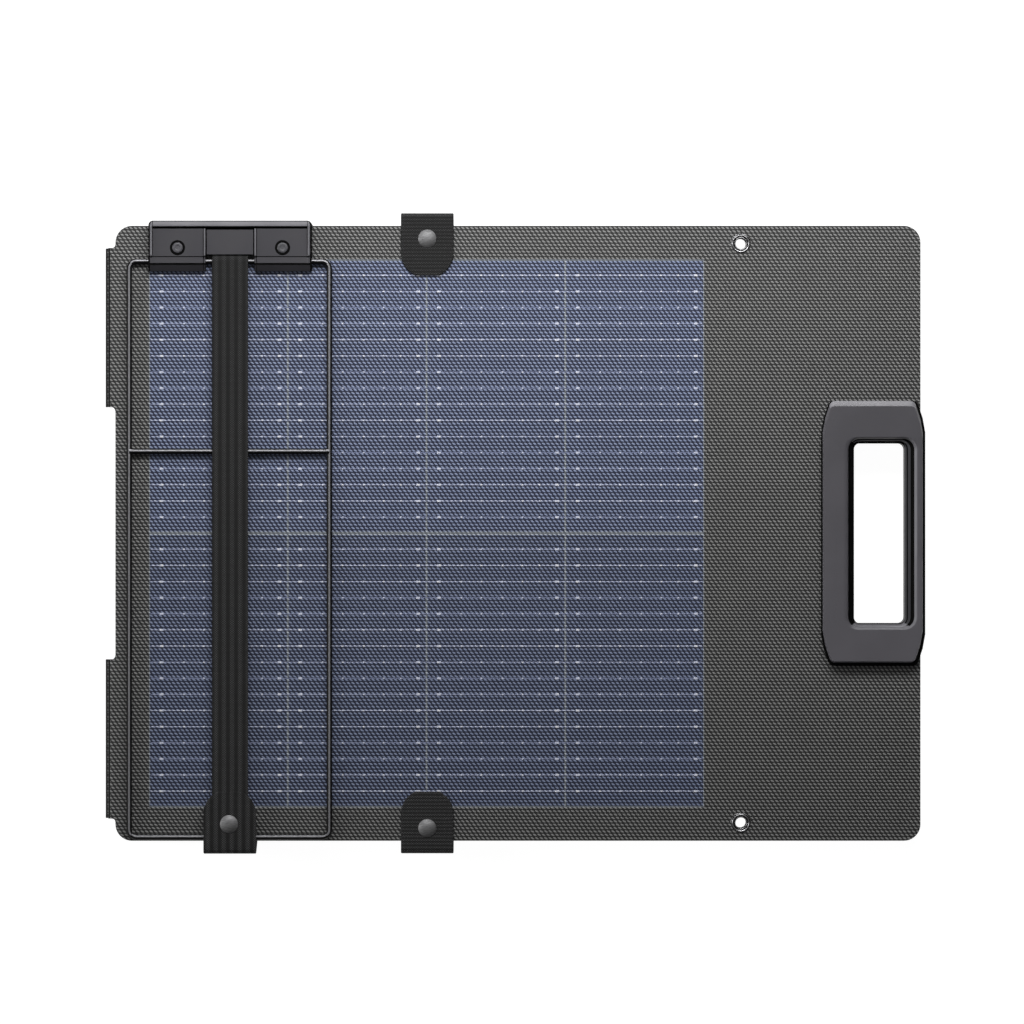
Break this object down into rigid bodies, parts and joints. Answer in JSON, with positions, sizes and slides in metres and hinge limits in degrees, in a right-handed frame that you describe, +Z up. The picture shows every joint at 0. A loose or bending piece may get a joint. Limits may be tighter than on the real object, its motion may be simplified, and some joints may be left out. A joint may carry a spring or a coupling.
{
  "type": "folding solar blanket",
  "caption": "Folding solar blanket closed into a flat pack: hinged laminated leaves of solar cells with handles, wire kickstands, straps and snap tabs.",
  "frame": {"origin": "middle of the closed pack's footprint, on the surface it lies on", "axes": "+X to the handle edge, +Y to the bracket edge, +Z up out of the outer face of leaf 1"},
  "size_m": [0.5448, 0.424, 0.0311],
  "materials": {
    "board": "matt laminate",
    "cells": "blue silicon",
    "ribbons": "tinned ribbon",
    "front_skin": "clear textured film",
    "back_skin": "embossed grey film",
    "fold_fabric": "woven",
    "grommets": "polished",
    "handle": "satin moulded",
    "handle_inner": "satin moulded",
    "screws": "zinc plated",
    "bracket": "satin moulded",
    "rivets": "satin moulded",
    "wire": "black powder coat",
    "webbing": "woven webbing",
    "snaps": "satin enamel",
    "studs": "plated",
    "box": "moulded",
    "gland": "moulded"
  },
  "bodies": {
    "leaf_1": {"leaf_1_board": "board", "leaf_1_cells": "cells", "leaf_1_ribbons": "ribbons", "leaf_1_front_skin": "front_skin", "leaf_1_back_skin": "back_skin", "fold_12_strip_1": "fold_fabric", "grommets_1": "grommets", "handle_outer_1": "handle", "handle_inner_1": "handle_inner", "handle_screws_1": "screws", "bracket_1": "bracket", "bracket_cover_1": "bracket", "bracket_rivets_1": "rivets", "studs_1": "studs"},
    "leaf_2": {"leaf_2_board": "board", "leaf_2_cells": "cells", "leaf_2_ribbons": "ribbons", "leaf_2_front_skin": "front_skin", "leaf_2_back_skin": "back_skin", "fold_12_strip_2": "fold_fabric", "fold_23_strip_2": "fold_fabric"},
    "leaf_3": {"leaf_3_board": "board", "leaf_3_cells": "cells", "leaf_3_ribbons": "ribbons", "leaf_3_front_skin": "front_skin", "leaf_3_back_skin": "back_skin", "fold_23_strip_3": "fold_fabric", "fold_34_strip_3": "fold_fabric"},
    "leaf_4": {"leaf_4_board": "board", "leaf_4_cells": "cells", "leaf_4_ribbons": "ribbons", "leaf_4_front_skin": "front_skin", "leaf_4_back_skin": "back_skin", "fold_34_strip_4": "fold_fabric", "grommets_4": "grommets", "handle_outer_4": "handle", "handle_inner_4": "handle_inner", "handle_screws_4": "screws", "bracket_4": "bracket", "bracket_cover_4": "bracket", "bracket_rivets_4": "rivets", "studs_4": "studs", "junction_box": "box", "junction_lid": "box", "output_gland": "gland"},
    "kickstand_1": {"bail_1": "wire"},
    "hold_strap_1": {"strap_1": "webbing", "strap_snap_1": "snaps"},
    "kickstand_4": {"bail_4": "wire"},
    "hold_strap_4": {"strap_4": "webbing", "strap_snap_4": "snaps"},
    "top_tab_side": {"tab_top_side": "webbing"},
    "top_tab_end": {"tab_top_end": "webbing", "tab_top_cap": "snaps"},
    "bottom_tab_side": {"tab_bottom_side": "webbing"},
    "bottom_tab_end": {"tab_bottom_end": "webbing", "tab_bottom_cap": "snaps"},
    "left_tab_side": {"tab_left_side": "webbing"},
    "left_tab_end": {"tab_left_end": "webbing", "tab_left_cap": "snaps"}
  },
  "joints": [
    {"name": "fold_12", "type": "hinge", "parent": "leaf_1", "child": "leaf_2", "pos_m": [-0.2704, 0, 0.018], "axis": [0, 1, 0], "range_deg": [0, 180], "deforming": ["tab_top_end", "tab_bottom_end", "tab_left_end"]},
    {"name": "fold_23", "type": "hinge", "parent": "leaf_2", "child": "leaf_3", "pos_m": [0.1412, 0, 0.0144], "axis": [0, -1, 0], "range_deg": [0, 180]},
    {"name": "fold_34", "type": "hinge", "parent": "leaf_3", "child": "leaf_4", "pos_m": [-0.2726, 0, 0.0108], "axis": [0, 1, 0], "range_deg": [0, 180]},
    {"name": "kickstand_1_tilt", "type": "hinge", "parent": "leaf_1", "child": "kickstand_1", "pos_m": [-0.1894, 0.1806, 0.0239], "axis": [-1, 0, 0], "range_deg": [0, 75]},
    {"name": "hold_strap_1_lift", "type": "hinge", "parent": "leaf_1", "child": "hold_strap_1", "pos_m": [-0.1894, 0.1806, 0.0239], "axis": [-1, 0, 0], "range_deg": [0, 75.05]},
    {"name": "kickstand_4_tilt", "type": "hinge", "parent": "leaf_4", "child": "kickstand_4", "pos_m": [-0.1894, 0.1806, 0.0049], "axis": [1, 0, 0], "range_deg": [0, 75]},
    {"name": "hold_strap_4_lift", "type": "hinge", "parent": "leaf_4", "child": "hold_strap_4", "pos_m": [-0.1894, 0.1806, 0.0049], "axis": [1, 0, 0], "range_deg": [0, 75.05]},
    {"name": "top_tab_open", "type": "hinge", "parent": "leaf_4", "child": "top_tab_side", "pos_m": [-0.058, 0.2052, 0.009], "axis": [-1, 0, 0], "range_deg": [0, 62.74]},
    {"name": "top_tab_unroll", "type": "hinge", "parent": "top_tab_side", "child": "top_tab_end", "pos_m": [-0.058, 0.212, 0.0222], "axis": [-1, 0, 0], "range_deg": [0, 117.31]},
    {"name": "bottom_tab_open", "type": "hinge", "parent": "leaf_4", "child": "bottom_tab_side", "pos_m": [-0.058, -0.2052, 0.009], "axis": [1, 0, 0], "range_deg": [0, 62.74]},
    {"name": "bottom_tab_unroll", "type": "hinge", "parent": "bottom_tab_side", "child": "bottom_tab_end", "pos_m": [-0.058, -0.212, 0.0222], "axis": [1, 0, 0], "range_deg": [0, 117.31]},
    {"name": "left_tab_open", "type": "hinge", "parent": "leaf_4", "child": "left_tab_side", "pos_m": [-0.1889, -0.2052, 0.009], "axis": [1, 0, 0], "range_deg": [0, 70.49]},
    {"name": "left_tab_unroll", "type": "hinge", "parent": "left_tab_side", "child": "left_tab_end", "pos_m": [-0.1889, -0.212, 0.02819], "axis": [1, 0, 0], "range_deg": [0, 109.56]}
  ],
  "couplings": [
    {"joint": "fold_23", "follows": "fold_12", "ratio": 1},
    {"joint": "fold_34", "follows": "fold_12", "ratio": 1},
    {"joint": "hold_strap_1_lift", "follows": "kickstand_1_tilt", "ratio": 1},
    {"joint": "hold_strap_4_lift", "follows": "kickstand_4_tilt", "ratio": 1},
    {"joint": "top_tab_unroll", "follows": "top_tab_open", "ratio": 1.8688},
    {"joint": "bottom_tab_unroll", "follows": "bottom_tab_open", "ratio": 1.8688},
    {"joint": "left_tab_unroll", "follows": "left_tab_open", "ratio": 1.5536}
  ]
}
